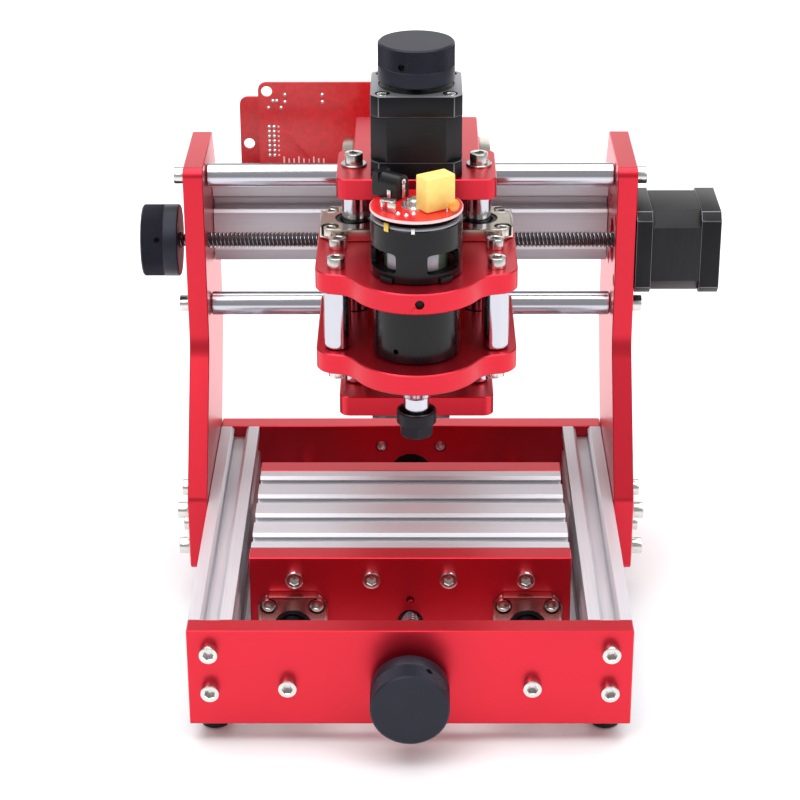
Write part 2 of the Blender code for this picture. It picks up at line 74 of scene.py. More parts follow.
def spot(x, y, z):
    """A place in the machine's frame as a point of the scene, in metres."""
    return BASE + Vector((x, y, z)) * MM


def machine(point):
    """The machine frame's millimetres of a point of the scene."""
    return (point - BASE) / MM


CAR_X = machine(centre("z_top_plate")).x
SPINDLE = machine(centre("spindle_can"))
Z_AXIS = machine(centre("z_motor"))


# ---- materials ----------------------------------------------------------------------------

def linear(value):
    value /= 255
    return value / 12.92 if value <= 0.04045 else ((value + 0.055) / 1.055) ** 2.4


def colour(red, green, blue):
    return (linear(red), linear(green), linear(blue), 1)


class Look:
    """A procedural material: a Principled shader with mottled colour, roughness and bump."""

    def __init__(self, name, base, metallic=0.0, roughness=0.4, **sockets):
        self.made = bpy.data.materials.new(name)
        self.made.use_nodes = True
        self.tree = self.made.node_tree
        self.shader = self.tree.nodes["Principled BSDF"]
        self.base, self.roughness = base, roughness
        self.shader.inputs["Base Color"].default_value = base
        self.shader.inputs["Metallic"].default_value = metallic
        self.shader.inputs["Roughness"].default_value = roughness
        for socket, value in sockets.items():
            self.shader.inputs[socket.replace("_", " ")].default_value = value

    def node(self, kind, **values):
        made = self.tree.nodes.new("ShaderNode" + kind)
        for name, value in values.items():
            if name in made.inputs:
                made.inputs[name].default_value = value
            else:
                setattr(made, name, value)
        return made

    def link(self, start, end):
        self.tree.links.new(start, end)

    def noise(self, scale, stretch=(1, 1, 1), detail=3.0):
        """Noise over the object's own coordinates; scale is in features per metre."""
        place = self.node("TexCoord")
        mapping = self.node("Mapping")
        mapping.inputs["Scale"].default_value = stretch
        self.link(place.outputs["Object"], mapping.inputs["Vector"])
        made = self.node("TexNoise", Scale=scale, Detail=detail)
        self.link(mapping.outputs["Vector"], made.inputs["Vector"])
        return made.outputs["Fac"]

    def mottle(self, source, spread):
        """Lightens and darkens the colour by a share of itself."""
        ramp = self.node("ValToRGB")
        for element, factor in zip(ramp.color_ramp.elements, (1 - spread, 1 + spread)):
            element.color = (*(min(1, channel * factor) for channel in self.base[:3]), 1)
        ramp.color_ramp.elements[0].position = 0.3
        ramp.color_ramp.elements[1].position = 0.7
        self.link(source, ramp.inputs["Fac"])
        self.link(ramp.outputs["Color"], self.shader.inputs["Base Color"])
        return self

    def vary_roughness(self, source, spread):
        ranged = self.node("MapRange")
        ranged.inputs["To Min"].default_value = max(0.02, self.roughness - spread)
        ranged.inputs["To Max"].default_value = self.roughness + spread
        self.link(source, ranged.inputs["Value"])
        self.link(ranged.outputs["Result"], self.shader.inputs["Roughness"])
        return self

    def bump(self, source, depth, strength=0.3):
        """depth is in millimetres."""
        made = self.node("Bump", Strength=strength, Distance=depth * MM)
        self.link(source, made.inputs["Height"])
        self.link(made.outputs["Normal"], self.shader.inputs["Normal"])
        return self


def make_looks():
    looks = {}

    def add(name, *args, **kwargs):
        looks[name] = Look(name, *args, **kwargs)
        return looks[name]

    red = add("anodised_red", colour(214, 32, 52), 0.85, 0.34, Coat_Weight=0.3,
              Coat_Roughness=0.3, Coat_IOR=1.5)
    grain = red.noise(2600, detail=2.0)
    red.mottle(red.noise(18), 0.05).vary_roughness(grain, 0.05).bump(grain, 0.02, 0.18)

    for name, stretch in (("extrusion_y", (1, 0.012, 1)), ("extrusion_x", (0.012, 1, 1))):
        bar = add(name, colour(208, 207, 212), 0.6, 0.46)
        lines = bar.noise(1500, stretch, 4.0)
        bar.mottle(lines, 0.05).vary_roughness(lines, 0.09).bump(lines, 0.03, 0.2)

    rod = add("polished_rod", colour(198, 198, 206), 1.0, 0.15)
    rings = rod.noise(700, detail=2.0)
    rod.vary_roughness(rings, 0.04).bump(rings, 0.004, 0.15)

    thread = add("lead_screw", colour(190, 190, 194), 1.0, 0.24)
    # the grooves of the lead screws get this darker grey: painted shade in the thread's roots
    root = add("thread_root_shade", colour(70, 66, 70), 0.8, 0.45)
    root.mottle(root.noise(900), 0.3)
    oil = thread.noise(260)
    thread.mottle(oil, 0.14).vary_roughness(oil, 0.08)

    nickel = add("bearing_nickel", colour(206, 199, 186), 1.0, 0.2)
    grind = nickel.noise(1300, (1, 1, 0.15))
    nickel.mottle(nickel.noise(160), 0.07).vary_roughness(grind, 0.1).bump(grind, 0.02, 0.25)

    steel = add("screw_steel", colour(214, 212, 208), 1.0, 0.22)
    steel.mottle(steel.noise(700), 0.08).vary_roughness(steel.noise(2500), 0.08)

    # the walls and floor of the screw sockets get this darker steel: painted shade inside the
    # sockets
    socket = add("socket_painted_shade", colour(96, 94, 96), 0.9, 0.4)
    socket.mottle(socket.noise(900), 0.15)

    bell = add("motor_black", colour(12, 12, 17), 0.1, 0.36, Specular_IOR_Level=0.25)
    cast = bell.noise(1800)
    bell.mottle(bell.noise(90), 0.12).vary_roughness(cast, 0.07).bump(cast, 0.03, 0.25)

    stack = add("motor_stack", colour(26, 25, 28), 0.2, 0.45, Specular_IOR_Level=0.35)
    sheets = stack.noise(3000, (0.02, 0.02, 1))
    stack.mottle(sheets, 0.25).bump(sheets, 0.05, 0.35)

    # a lighter grey metal on the bevelled edges of the motor castings and on the collet nut's lip
    edge_grey = add("motor_edge", colour(112, 112, 118), 1.0, 0.35)
    edge_grey.vary_roughness(edge_grey.noise(800), 0.1)

    # a lighter grey metal, used on a motor's rear face, the brush holders and the spindle rim
    face_grey = add("motor_face", colour(150, 151, 158), 0.8, 0.4)
    face_grey.mottle(face_grey.noise(70), 0.06).vary_roughness(face_grey.noise(1500), 0.08)

    knob = add("knob_grey", colour(38, 39, 50), 0.4, 0.42, Specular_IOR_Level=0.3)
    frost = knob.noise(2600)
    knob.mottle(knob.noise(60), 0.06).vary_roughness(frost, 0.07).bump(frost, 0.015, 0.2)

    rubber = add("rubber", colour(26, 26, 27), 0.0, 0.8)
    pores = rubber.noise(900)
    rubber.mottle(pores, 0.25).bump(pores, 0.08, 0.4)

    black = add("black_plastic", colour(16, 16, 19), 0.0, 0.36, Specular_IOR_Level=0.35)
    skin = black.noise(1600)
    black.mottle(black.noise(120), 0.15).vary_roughness(skin, 0.1).bump(skin, 0.02, 0.25)

    # very dark: the knobs' black grub screws, and painted shade inside the clamp plate's hole
    dark = add("hole_black", colour(6, 6, 7), 0.0, 0.7)
    dark.mottle(dark.noise(400), 0.3)

    can = add("spindle_black", colour(14, 14, 17), 0.15, 0.26, Specular_IOR_Level=0.25,
              Coat_Weight=0.15, Coat_Roughness=0.12)
    peel = can.noise(500)
    can.mottle(can.noise(60), 0.1).vary_roughness(peel, 0.05).bump(peel, 0.02, 0.15)

    board = add("board_red", colour(212, 26, 32), 0.0, 0.32, Coat_Weight=0.4,
                Coat_Roughness=0.15)
    tracks = board.noise(420, detail=1.0)
    board.mottle(tracks, 0.10).bump(tracks, 0.03, 0.35)

    rim = add("board_rim", colour(238, 214, 214), 0.0, 0.55)
    rim.mottle(rim.noise(900), 0.08)

    tin = add("solder", colour(226, 224, 220), 0.95, 0.2)
    tin.mottle(tin.noise(1200), 0.12)

    print_white = add("silk_white", colour(244, 224, 224), 0.0, 0.6)
    print_white.mottle(print_white.noise(1500), 0.06)

    yellow = add("capacitor_yellow", colour(252, 228, 128), 0.0, 0.4)
    film = yellow.noise(300)
    yellow.mottle(film, 0.04).vary_roughness(film, 0.06).bump(yellow.noise(1400), 0.02, 0.2)

    orange = add("capacitor_orange", colour(240, 150, 30), 0.0, 0.3, Coat_Weight=0.6)
    orange.mottle(orange.noise(800), 0.12)

    brass = add("brass", colour(214, 178, 84), 1.0, 0.25)
    brass.mottle(brass.noise(600), 0.1)

    copper = add("windings", colour(96, 110, 92), 0.3, 0.5)
    wires = copper.noise(1200, (1, 1, 4))
    copper.mottle(wires, 0.4).bump(wires, 0.2, 0.6)

    oxide = add("black_oxide", colour(40, 40, 46), 0.6, 0.36, Specular_IOR_Level=0.3)
    oxide.mottle(oxide.noise(200), 0.1).vary_roughness(oxide.noise(1500), 0.08)

    ground_floor = add("floor", colour(246, 246, 248), 0.0, 0.35)
    ground_floor.mottle(ground_floor.noise(3), 0.004)

    collet = add("collet_steel", colour(170, 170, 172), 1.0, 0.28)
    collet.vary_roughness(collet.noise(1500), 0.08)
    return looks


# ---- mesh tools ---------------------------------------------------------------------------

def piece(name, bm, look, body, slot=None, at=None, turn=None, flat=False):
    """A finished piece from a bmesh in metres, riding on a body."""
    bmesh.ops.recalc_face_normals(bm, faces=bm.faces)
    mesh = bpy.data.meshes.new(name)
    bm.to_mesh(mesh)
    bm.free()
    return put(name, mesh, look, body, at, turn, flat)


def put(name, mesh, look, body, at=None, turn=None, flat=False):
    made = bpy.data.objects.new(name, mesh)
    if not mesh.materials:
        for one in look if isinstance(look, (list, tuple)) else [look]:
            mesh.materials.append(LOOKS[one].made)
    if not flat:
        mesh.shade_smooth()
        mesh.set_sharp_from_angle(angle=CREASE)
    made.matrix_world = Matrix.Translation(at or (0, 0, 0)) @ (turn or Matrix()).to_4x4()
    bpy.context.scene.collection.objects.link(made)
    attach(made, body)
    return made


def turned_mesh(profile, sides=32, spin=0.0):
    """A closed mesh: (radius, height) points in millimetres round +Z. A radius of 0 ends it."""
    bm = bmesh.new()
    rings = []
    for radius, height in profile:
        if radius == 0:
            rings.append([bm.verts.new((0, 0, height * MM))])
            continue
        turns = [spin + math.tau * side / sides for side in range(sides)]
        rings.append([bm.verts.new((radius * MM * math.cos(t), radius * MM * math.sin(t),
                                    height * MM)) for t in turns])
    pairs = list(zip(rings, rings[1:]))
    if profile[0][0] > 0:
        pairs.append((rings[-1], rings[0]))
    for low, high in pairs:
        for side in range(sides):
            after = (side + 1) % sides
            corners = [low[side % len(low)], low[after % len(low)],
                       high[after % len(high)], high[side % len(high)]]
            unique = list(dict.fromkeys(corners))
            if len(unique) > 2:
                bm.faces.new(unique)
    return bm


def prism_mesh(outline, low, high):
    """A flat (x, y) outline in millimetres raised from low to high."""
    bm = bmesh.new()
    face = bm.faces.new([bm.verts.new((x * MM, y * MM, low * MM)) for x, y in outline])
    moved = bmesh.ops.extrude_face_region(bm, geom=[face])["geom"]
    moved = [item for item in moved if isinstance(item, bmesh.types.BMVert)]
    bmesh.ops.translate(bm, verts=moved, vec=(0, 0, (high - low) * MM))
    return bm


def box_mesh(width, depth, low, high, x=0.0, y=0.0):
    return prism_mesh(rectangle(width / 2, depth / 2, x, y), low, high)


def rectangle(half_x, half_y, x=0.0, y=0.0):
    return [(x + s * half_x, y + t * half_y) for s, t in ((-1, -1), (1, -1), (1, 1), (-1, 1))]


def chamfered_square(half, cut):
    near = half - cut
    return [(near, -half), (half, -near), (half, near), (near, half),
            (-near, half), (-half, near), (-half, -near), (-near, -half)]


def merged(*meshes):
    """One bmesh holding several."""
    whole = meshes[0]
    for other in meshes[1:]:
        held = bpy.data.meshes.new("held")
        other.to_mesh(held)
        other.free()
        whole.from_mesh(held)
        bpy.data.meshes.remove(held)
    return whole


def moved_mesh(bm, x=0.0, y=0.0, z=0.0, turn=None):
    shift = Matrix.Translation(Vector((x, y, z)) * MM)
    bmesh.ops.transform(bm, matrix=shift @ (turn or Matrix()).to_4x4(), verts=bm.verts)
    return bm


def apply_modifiers(made):
    graph = bpy.context.evaluated_depsgraph_get()
    mesh = bpy.data.meshes.new_from_object(made.evaluated_get(graph))
    made.modifiers.clear()
    made.data = mesh
    return made


def bevelled(bm, width, segments=2, angle=30, edge_material=None):
    """The mesh with its sharp edges rounded; width in millimetres."""
    mesh = bpy.data.meshes.new("bevelled")
    bmesh.ops.recalc_face_normals(bm, faces=bm.faces)
    bm.to_mesh(mesh)
    bm.free()
    made = bpy.data.objects.new("bevelled", mesh)
    bpy.context.scene.collection.objects.link(made)
    for name in ("base", "edge")[:2 if edge_material else 1]:
        mesh.materials.append(bpy.data.materials.get(name) or bpy.data.materials.new(name))
    edge = made.modifiers.new("edge", "BEVEL")
    edge.width = width * MM
    edge.segments = segments
    edge.angle_limit = math.radians(angle)
    if edge_material:
        edge.material = 1
    apply_modifiers(made)
    result = bmesh.new()
    result.from_mesh(made.data)
    bpy.data.objects.remove(made)
    return result


def carved(bm, tools):
    """The mesh with the tools cut out of it."""
    things = []
    for each in [bm] + tools:
        bmesh.ops.recalc_face_normals(each, faces=each.faces)
        mesh = bpy.data.meshes.new("carving")
        each.to_mesh(mesh)
        each.free()
        made = bpy.data.objects.new("carving", mesh)
        bpy.context.scene.collection.objects.link(made)
        things.append(made)
    made = things[0]
    for tool in things[1:]:
        boolean = made.modifiers.new("carve", "BOOLEAN")
        boolean.operation = "DIFFERENCE"
        boolean.object = tool
    apply_modifiers(made)
    result = bmesh.new()
    result.from_mesh(made.data)
    for thing in things:
        bpy.data.objects.remove(thing)
    return result


# turns that lay a shape drawn round +Z along another axis
ALONG = {
    "+Z": Matrix.Identity(3),
    "-Z": Matrix.Rotation(math.pi, 3, "X"),
    "+Y": Matrix.Rotation(-math.pi / 2, 3, "X"),
    "-Y": Matrix.Rotation(math.pi / 2, 3, "X"),
    "+X": Matrix.Rotation(math.pi / 2, 3, "Y"),
    "-X": Matrix.Rotation(-math.pi / 2, 3, "Y"),
}


def refined(node, look, bevel=0.0, segments=2, tools=()):
    """A smoother copy of a CAD node: flat areas merged, edges rounded, arcs shaded smooth.

    Tools are cutters in the object's own frame, such as the wells of sunk screws."""
    bm = bmesh.new()
    bm.from_mesh(nodes[node].data)
    bmesh.ops.remove_doubles(bm, verts=bm.verts, dist=0.002 * MM)
    bmesh.ops.dissolve_limit(bm, angle_limit=math.radians(0.5), verts=bm.verts, edges=bm.edges,
                             delimit={"NORMAL"})
    if bevel:
        bm = bevelled(bm, bevel, segments)
    if tools:
        bm = carved(bm, list(tools))
    made = piece(node + "_finished", bm, look, BODY_OF[node], SLOT_OF[node])
    normals = made.modifiers.new("even_shading", "WEIGHTED_NORMAL")
    normals.keep_sharp = True
    made.data.materials.clear()
    made.data.materials.append(LOOKS[look].made)
    for face in made.data.polygons:
        face.material_index = 0
    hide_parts(node)
    return made


# ---- fasteners and other repeated pieces ----------------------------------------------------

HEADS = {"M3": (2.75, 3.0, 2.5), "M4": (3.25, 4.0, 3.0), "M5": (4.25, 5.0, 4.0)}
MESHES = {}


def cap_screw_mesh(size):
    """A socket head drawn up from its seat, with a six-sided socket in its top."""
    radius, height, socket = HEADS[size]
    sides = 36
    rings = [(radius - 0.25, 0), (radius, 0.25), (radius, height - 0.5),
             (radius - 0.15, height - 0.15), (radius - 0.5, height)]
    bm = turned_mesh([(0, 0)] + rings, sides)
    top = [vert for vert in bm.verts if vert.co.z > (height - 0.01) * MM]
    top.sort(key=lambda vert: math.atan2(vert.co.y, vert.co.x) % math.tau)
    across = socket / 2

    def hexagon(level, grow=0.0):
        ring = []
        for side in range(sides):
            turn = math.tau * side / sides
            reach = (across + grow) / math.cos((turn + math.pi / 6) % (math.pi / 3) - math.pi / 6)
            ring.append(bm.verts.new((reach * MM * math.cos(turn), reach * MM * math.sin(turn),
                                      level * MM)))
        return ring

    # the lower socket walls and the socket floor take the second material, which paints shade
    # inside the socket
    loops = [top, hexagon(height, 0.2), hexagon(height - 0.25), hexagon(height * 0.45)]
    for low, high in zip(loops, loops[1:]):
        for side in range(sides):
            after = (side + 1) % sides
            made = bm.faces.new([low[side], low[after], high[after], high[side]])
            made.material_index = 1 if high is loops[-1] else 0
    bm.faces.new(loops[-1]).material_index = 1
    bmesh.ops.remove_doubles(bm, verts=bm.verts, dist=0.001 * MM)
    return bm


def shared(name, build, look):
    """A mesh that several pieces use, made the first time it is asked for."""
    if name not in MESHES:
        bm = build()
        bmesh.ops.recalc_face_normals(bm, faces=bm.faces)
        mesh = bpy.data.meshes.new(name)
        bm.to_mesh(mesh)
        bm.free()
        mesh.materials.clear()
        for one in look if isinstance(look, (list, tuple)) else [look]:
            mesh.materials.append(LOOKS[one].made)
        mesh.shade_smooth()
        mesh.set_sharp_from_angle(angle=CREASE)
        MESHES[name] = mesh
    return MESHES[name]


def cap_screw(name, size, x, y, z, facing, body, washer=0.0, turn=0.3):
    """A screw whose seat is at (x, y, z), on a washer if it has one."""
    way = ALONG[facing] @ Matrix.Rotation(turn, 3, "Z")
    out = ALONG[facing] @ Vector((0, 0, 1))
    seat = spot(x, y, z)
    if washer:
        mesh = shared("washer", lambda: turned_mesh(
            [(2.8, 0), (washer - 0.2, 0), (washer, 0.2), (washer, 0.8), (washer - 0.2, 1),
             (2.8, 1)], 40), "screw_steel")
        put(name + "_washer", mesh, None, body, seat + out * 0.02 * MM, way)
        seat = seat + out * 1.05 * MM
    mesh = shared("cap_screw_" + size, lambda: cap_screw_mesh(size),
                  ["screw_steel", "socket_painted_shade"])
    return put(name, mesh, None, body, seat, way)


def bar(node, look, axis, radius, sides=FINE, chamfer=0.7, start=None, end=None):
    """A round bar with chamfered ends that stands for a CAD rod."""
    low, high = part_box(node)
    index = "XYZ".index(axis)
    length = (high - low)[index] / MM
    profile = [(0, 0), (radius - chamfer, 0), (radius, chamfer), (radius, length - chamfer),
               (radius - chamfer, length), (0, length)]
    at = (low + high) / 2
    at[index] = low[index]
    made = piece(node + "_turned", turned_mesh(profile, sides), look, BODY_OF[node],
                 SLOT_OF[node], at, ALONG["+" + axis])
    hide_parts(node)
    return made


def thread_mesh(length, outer, root, pitch, starts, plain=(0.0, 0.0), sides=24):
    """A screw thread: the radius rises and falls along a helix; plain ends stay at the outside."""
    steps = int(length / pitch * 10)
    bm = bmesh.new()
    rings = []
    for step in range(steps + 1):
        z = length * step / steps
        ring = []
        for side in range(sides):
            turn = math.tau * side / sides
            phase = (z / pitch - starts * side / sides) % 1
            rise = min(1, max(0, abs(phase - 0.5) * 5.5 - 1.2))
            if z < plain[0] or z > length - plain[1]:
                rise = 1
            radius = root + (outer - root) * rise
            ring.append(bm.verts.new((radius * MM * math.cos(turn),
                                      radius * MM * math.sin(turn), z * MM)))
        rings.append(ring)
    # faces below the middle radius take the second material, which paints shade into the grooves
    middle = (outer + root) / 2 * MM
    for low, high in zip(rings, rings[1:]):
        for side in range(sides):
            after = (side + 1) % sides
            corners = [low[side], low[after], high[after], high[side]]
            reach = sum(corner.co.xy.length for corner in corners) / 4
            bm.faces.new(corners).material_index = 1 if reach < middle else 0
    bm.faces.new(rings[0])
    bm.faces.new(rings[-1])
    return bm


def lead_screw(node, axis, plain=(6.0, 10.0)):
    low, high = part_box(node)
    index = "XYZ".index(axis)
    at = (low + high) / 2
    at[index] = low[index]
    length = (high - low)[index] / MM
    bm = thread_mesh(length, 3.95, 2.95, 2.0, 2, plain)
    made = piece(node + "_threaded", bm, ["lead_screw", "thread_root_shade"], BODY_OF[node],
                 SLOT_OF[node], at, ALONG["+" + axis])
    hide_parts(node)
    return made


KNOB_R, KNOB_LENGTH = 17.85, 18.3
NUT_ACROSS = 14.6


def knob_mesh():
    """Back at 0, face at the top: a smooth band, a diamond knurl, and a set-screw hole."""
    band, knurl_top = 7.4, 17.5
    sides, rows, depth = 180, 14, 0.42
    bm = bmesh.new()

    def ring(radius, z, wave=None):
        made = []
        for side in range(sides):
            turn = math.tau * side / sides
            cut = depth * ((side + wave) % 2) if wave is not None else 0
            made.append(bm.verts.new(((radius - cut) * MM * math.cos(turn),
                                      (radius - cut) * MM * math.sin(turn), z * MM)))
        return made

    rings = [ring(4.3, 15), ring(4.3, 0), ring(KNOB_R - 0.6, 0), ring(KNOB_R, 0.6),
             ring(KNOB_R, band - 0.3), ring(KNOB_R - 0.15, band)]
    plain = len(rings)
    for row in range(rows + 1):
        rings.append(ring(KNOB_R, band + 0.2 + (knurl_top - band - 0.2) * row / rows, row))
    rings += [ring(KNOB_R - 0.15, knurl_top + 0.1), ring(KNOB_R - 0.85, KNOB_LENGTH)]
    for index, (low, high) in enumerate(zip(rings, rings[1:])):
        row = index - plain
        for side in range(sides):
            after = (side + 1) % sides
            corners = [low[side], low[after], high[after], high[side]]
            if not 0 <= row < rows:
                bm.faces.new(corners)
                continue
            shift = (side + row + 1) % 2
            corners = corners[shift:] + corners[:shift]
            for split in (corners[:3], [corners[2], corners[3], corners[0]]):
                bm.faces.new(split).material_index = 1
    bm.faces.new(rings[0])
    bm.faces.new(rings[-1])
    hole = moved_mesh(turned_mesh([(0, 0), (1.7, 0), (1.7, 8), (0, 8)], 20), 0, -12, 10.0,
                      ALONG["-Y"])
    return carved(bm, [hole])


def knob(node, facing, hole_turn):
    at = centre(node)
    out = ALONG[facing] @ Vector((0, 0, 1))
    at = at - out * KNOB_LENGTH / 2 * MM
    mesh = shared("knob", knob_mesh, ["knob_grey", "knob_grey"])
    for face in mesh.polygons:
        face.use_smooth = face.material_index == 0
    way = ALONG[facing] @ Matrix.Rotation(hole_turn, 3, "Z")
    made = put(node + "_knurled", mesh, None, BODY_OF[node], at, way)
    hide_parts(node)
    screw = shared("set_screw", lambda: carved(
        turned_mesh([(0, 0), (1.55, 0), (1.55, 3), (0, 3)], 20),
        [prism_mesh([(0.8 * math.cos(t * math.pi / 3), 0.8 * math.sin(t * math.pi / 3))
                     for t in range(6)], 1, 4)]), "hole_black")
    seat = way @ Vector((0, -12.5, 10.0)) * MM
    put(node + "_set_screw", screw, None, BODY_OF[node], at + seat,
        way @ ALONG["-Y"])
    return made


FLANGE, FLANGE_HALF, FLANGE_CUT = 5.7, 16.3, 5.2


def bearing_mesh():
    """Flange from 0 up to its outer face at 5.7, barrel below, counterbores at the corners."""
    bore, barrel, end, rim = 9.2, 10.5, -24.3, 0.4
    cutters = [moved_mesh(turned_mesh([(0, 1.3), (4.15, 1.3), (4.15, 8), (0, 8)], 32), x, y)
               for x, y in rectangle(11.3, 11.3)]
    cutters.append(turned_mesh([(0, -30), (bore, -30), (bore, 9), (0, 9)], FINE))
    flange = bevelled(prism_mesh(chamfered_square(FLANGE_HALF, FLANGE_CUT), 0, FLANGE), 0.35)
    tube = turned_mesh([(bore, end), (barrel - rim, end), (barrel, end + rim),
                        (barrel, -0.02), (bore, -0.02)], FINE)
    return merged(carved(flange, cutters), tube)


def seal_mesh():
    """The black seal and the ball cage between the barrel and the rod."""
    return turned_mesh([(6.35, 4.6), (7.2, 5.2), (9.1, 5.2), (9.1, -23.6), (6.35, -23.6)], FINE)


def bearing(node, facing):
    """facing is the way the flange's outer face looks."""
    low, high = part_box(node)
    out = ALONG[facing] @ Vector((0, 0, 1))
    face = centre(node)
    index = "XYZ".index(facing[1])
    face[index] = high[index] if facing[0] == "+" else low[index]
    at = face - out * FLANGE * MM
    way = ALONG[facing]
    body = BODY_OF[node]
    mesh = shared("linear_bearing", bearing_mesh, "bearing_nickel")
    made = put(node + "_housing", mesh, None, body, at, way)
    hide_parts(node)
    seal = shared("bearing_seal", seal_mesh, "black_plastic")
    put(node + "_seal", seal, None, body, at, way)
    screw = shared("cap_screw_M4", lambda: cap_screw_mesh("M4"),
                   ["screw_steel", "socket_painted_shade"])
    for index, (x, y) in enumerate(rectangle(11.3, 11.3)):
        seat = at + way @ Vector((x, y, 1.35)) * MM
        spin = way @ Matrix.Rotation(0.4 + index, 3, "Z")
        put(f"{node}_screw_{index + 1}", screw, None, body, seat, spin)
    return made


# ---- motors -------------------------------------------------------------------------------

MOTOR_HALF = 21.15


def bell_mesh(low, high, open_top):
    """A motor's end casting: chamfered corners and, at the back, sunk screw holes."""
    bm = bevelled(prism_mesh(chamfered_square(MOTOR_HALF, 3.8), low, high), 0.3, 2, 30, True)
    if not open_top:
        return bm
    holes = []
    for x, y in rectangle(15.5, 15.5):
        hole = turned_mesh([(0, high - 3.1), (3.5, high - 3.1), (3.5, high + 2), (0, high + 2)],
                           28)
        holes.append(moved_mesh(hole, x, y))
    holes.append(turned_mesh([(0, high - 0.5), (17.6, high - 0.5), (17.9, high + 1),
                              (0, high + 1)], FINE))
    return carved(bm, holes)


def motor(node, facing, shaft_hole=False):
    """facing is the way the motor's back looks, away from its mounting face."""
    low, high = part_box(node)
    index = "XYZ".index(facing[1])
    length = (high - low)[index] / MM - 2.0
    out = ALONG[facing] @ Vector((0, 0, 1))
    at = centre(node)
    at[index] = (high[index] if facing[0] == "+" else low[index])
    at = at - out * length * MM
    way = ALONG[facing]
    body = BODY_OF[node]
    front, back = 7.8, length - 9.8
    place = dict(body=body, slot=SLOT_OF[node], at=at, turn=way)
    parts = [piece(node + "_front_bell", bell_mesh(0, front, False),
                   ["motor_black", "motor_edge"], **place)]
    stack = bevelled(prism_mesh(chamfered_square(MOTOR_HALF - 0.05, 7.4), front + 0.02,
                                back - 0.02), 0.25)
    parts.append(piece(node + "_stack", stack, "motor_stack", **place))
    parts.append(piece(node + "_rear_bell", bell_mesh(back, length, True),
                       ["motor_black", "motor_edge"], **place))
    inner = 4.4 if shaft_hole else 0
    pilot = [(inner, -1.9), (10.7, -1.9), (10.95, -1.6), (10.95, 0.05), (inner, 0.05)]
    parts.append(piece(node + "_pilot", turned_mesh(pilot, FINE), "motor_black", **place))
    disc = [(inner, length - 0.7), (17.3, length - 0.7), (17.3, length - 0.45),
            (inner, length - 0.45)]
    parts.append(piece(node + "_back_disc", turned_mesh(disc, FINE), "motor_black", **place))
    screw = shared("motor_screw", lambda: cap_screw_mesh("M3"),
                   ["screw_steel", "socket_painted_shade"])
    for number, (x, y) in enumerate(rectangle(15.5, 15.5)):
        seat = at + way @ Vector((x, y, length - 3.05)) * MM
        put(f"{node}_screw_{number + 1}", screw, None, body, seat, way)
    for part in parts:
        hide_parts(node)
    return parts


def lighter_back_face(parts):
    """Gives a rear casting's outer face a lighter grey metal than the rest of the casting."""
    rear = parts[2]
    rear.data.materials.append(LOOKS["motor_face"].made)
    top = max(vert.co.z for vert in rear.data.vertices)
    for face in rear.data.polygons:
        if face.normal.z > 0.9 and face.center.z > top - 0.05 * MM:
            face.material_index = len(rear.data.materials) - 1


# ---- base and gantry ------------------------------------------------------------------------

PLATE_YS = (0.0, 222.0)              # outer faces of the front and the back plate
SIDE_OUT = 110.1                     # outer faces of the side plates
BASE_Z = 31.2


def well(radius, depth, x, y, z, facing):
    """A cutter for a round hole whose mouth at (x, y, z) opens the way it faces."""
    bm = turned_mesh([(0, -depth), (radius, -depth), (radius, 1), (0, 1)], 32)
    at = spot(x, y, z) / MM
    return moved_mesh(bm, at.x, at.y, at.z, ALONG[facing])


def make_base():
    refined("front_plate", "anodised_red")
    refined("left_side_plate", "anodised_red")
    sunk = [well(3.2, 3.6, x, 212.0, z, "-Y") for x, z in rectangle(15.5, 15.5, 0, BASE_Z)]
    refined("back_plate", "anodised_red", tools=sunk)
    sunk = [well(3.2, 4.0, 100.3, y, z, "-X") for y, z in rectangle(15.5, 15.5, 187, 173.5)]
    refined("right_side_plate", "anodised_red", tools=sunk)
    for node in ("left_rail", "right_rail"):
        refined(node, "extrusion_y", 0.22)
    refined("cross_profile", "extrusion_x", 0.22)
    for node in ("y_rod_left", "y_rod_right"):
        bar(node, "polished_rod", "Y", 6.0)
    for node in ("x_rod_upper", "x_rod_lower"):
        bar(node, "polished_rod", "X", 6.0)
    for node in ("foot_front_left", "foot_front_right", "foot_back_left", "foot_back_right"):
        low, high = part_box(node)
        top = (high - low).z / MM
        profile = [(0, 0), (5.9, 0), (6.6, 0.5), (6.85, 1.2), (6.85, top - 1), (6.3, top),
                   (0, top)]
        at = Vector((centre(node).x, centre(node).y, low.z))
        made = piece(node + "_moulded", turned_mesh(profile, 48), "rubber", "frame", "rubber", at)
        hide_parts(node)
    for end, (y, facing) in enumerate(zip(PLATE_YS, ("-Y", "+Y"))):
        for x in (-90, 90):
            for z in (28.75, 48.75):
                cap_screw(f"plate_screw_{end}_{x}_{int(z)}", "M5", x, y, z, facing, "frame",
                          turn=0.1 * z + x)
        for x in (-55, 55):
            cap_screw(f"rod_screw_{end}_{x}", "M5", x, y, BASE_Z, facing, "frame", turn=x)
    for number, (x, z) in enumerate(rectangle(15.5, 15.5, 0, BASE_Z)):
        cap_screw(f"y_motor_mount_{number}", "M3", x, 215.5, z, "-Y", "frame", turn=number)


